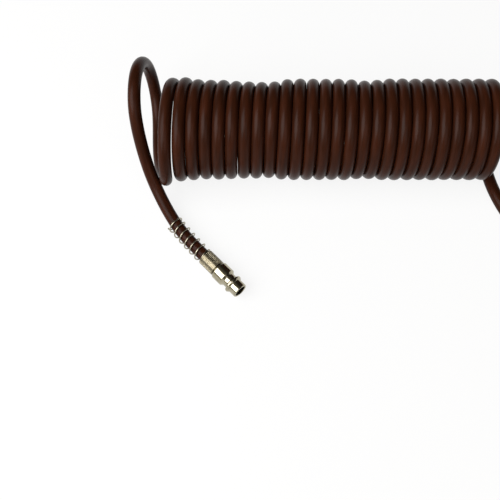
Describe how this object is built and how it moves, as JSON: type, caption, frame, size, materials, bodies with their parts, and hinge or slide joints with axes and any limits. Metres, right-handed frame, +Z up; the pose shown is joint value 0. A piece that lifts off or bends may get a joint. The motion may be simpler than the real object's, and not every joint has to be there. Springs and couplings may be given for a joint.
{
  "type": "coiled air hose",
  "caption": "Recoil air hose: a closed coil of glossy dark brown tube, with a plug at one free end and a quick-release coupler at the other, each with a knurled nut and a bend spring.",
  "frame": {"origin": "middle of the footprint, on the surface the hose lies on", "axes": "+X along the coil's axis, from its plug end to its coupler end; +Z up; both fittings lie on the -Y side"},
  "size_m": [0.399, 0.1547, 0.064],
  "materials": {
    "hose": "glossy polyurethane, dark red-brown",
    "nickel_fitting": "bright nickel plate on turned brass",
    "knurled_nut": "bright nickel plate, finely knurled",
    "spring_wire": "bright zinc-plated spring wire",
    "ball_steel": "polished",
    "valve_brass": "turned, bare",
    "seal_rubber": "matt black",
    "washer_fibre": "matt"
  },
  "bodies": {
    "plug_end": {"plug_nipple": "nickel_fitting", "plug_nut": "knurled_nut", "plug_bend_spring": "spring_wire", "hose_tail_plug": "hose", "hose_coil": "hose"},
    "coupler_end": {"hose_tail_coupler": "hose", "coupler_bend_spring": "spring_wire", "coupler_nut": "knurled_nut", "coupler_tailpiece": "nickel_fitting", "body_washer": "washer_fibre", "coupler_body": "nickel_fitting", "plug_seal": "seal_rubber", "stop_ring": "spring_wire", "sleeve_spring": "spring_wire", "valve_spring": "spring_wire"},
    "release_sleeve": {"release_sleeve": "nickel_fitting"},
    "valve": {"valve_poppet": "valve_brass", "valve_seal": "seal_rubber"},
    "ball_1": {"locking_ball_1": "ball_steel"},
    "ball_2": {"locking_ball_2": "ball_steel"},
    "ball_3": {"locking_ball_3": "ball_steel"},
    "ball_4": {"locking_ball_4": "ball_steel"},
    "ball_5": {"locking_ball_5": "ball_steel"},
    "ball_6": {"locking_ball_6": "ball_steel"}
  },
  "joints": [
    {"name": "coil_stretch", "type": "slide", "parent": "plug_end", "child": "coupler_end", "axis": [1, 0, 0], "range_m": [0, 1.2], "stiffness_N_per_m": 4.8, "deforming": ["hose_coil"]},
    {"name": "sleeve_slide", "type": "slide", "parent": "coupler_end", "child": "release_sleeve", "axis": [-1, 0, 0], "range_m": [0, 0.0045], "stiffness_N_per_m": 1500, "springref_m": -0.003, "deforming": ["sleeve_spring"]},
    {"name": "valve_slide", "type": "slide", "parent": "coupler_end", "child": "valve", "axis": [-1, 0, 0], "range_m": [0, 0.003], "stiffness_N_per_m": 600, "springref_m": -0.004, "deforming": ["valve_spring"]},
    {"name": "ball_1_slide", "type": "slide", "parent": "coupler_end", "child": "ball_1", "axis": [0, -0.5, 0.866], "range_m": [0, 0.0011]},
    {"name": "ball_2_slide", "type": "slide", "parent": "coupler_end", "child": "ball_2", "axis": [0, -1, 0], "range_m": [0, 0.0011]},
    {"name": "ball_3_slide", "type": "slide", "parent": "coupler_end", "child": "ball_3", "axis": [0, -0.5, -0.866], "range_m": [0, 0.0011]},
    {"name": "ball_4_slide", "type": "slide", "parent": "coupler_end", "child": "ball_4", "axis": [0, 0.5, -0.866], "range_m": [0, 0.0011]},
    {"name": "ball_5_slide", "type": "slide", "parent": "coupler_end", "child": "ball_5", "axis": [0, 1, 0], "range_m": [0, 0.0011]},
    {"name": "ball_6_slide", "type": "slide", "parent": "coupler_end", "child": "ball_6", "axis": [0, 0.5, 0.866], "range_m": [0, 0.0011]}
  ],
  "couplings": [
    {"joint": "ball_1_slide", "follows": "sleeve_slide", "ratio": 0.24444},
    {"joint": "ball_2_slide", "follows": "sleeve_slide", "ratio": 0.24444},
    {"joint": "ball_3_slide", "follows": "sleeve_slide", "ratio": 0.24444},
    {"joint": "ball_4_slide", "follows": "sleeve_slide", "ratio": 0.24444},
    {"joint": "ball_5_slide", "follows": "sleeve_slide", "ratio": 0.24444},
    {"joint": "ball_6_slide", "follows": "sleeve_slide", "ratio": 0.24444}
  ]
}
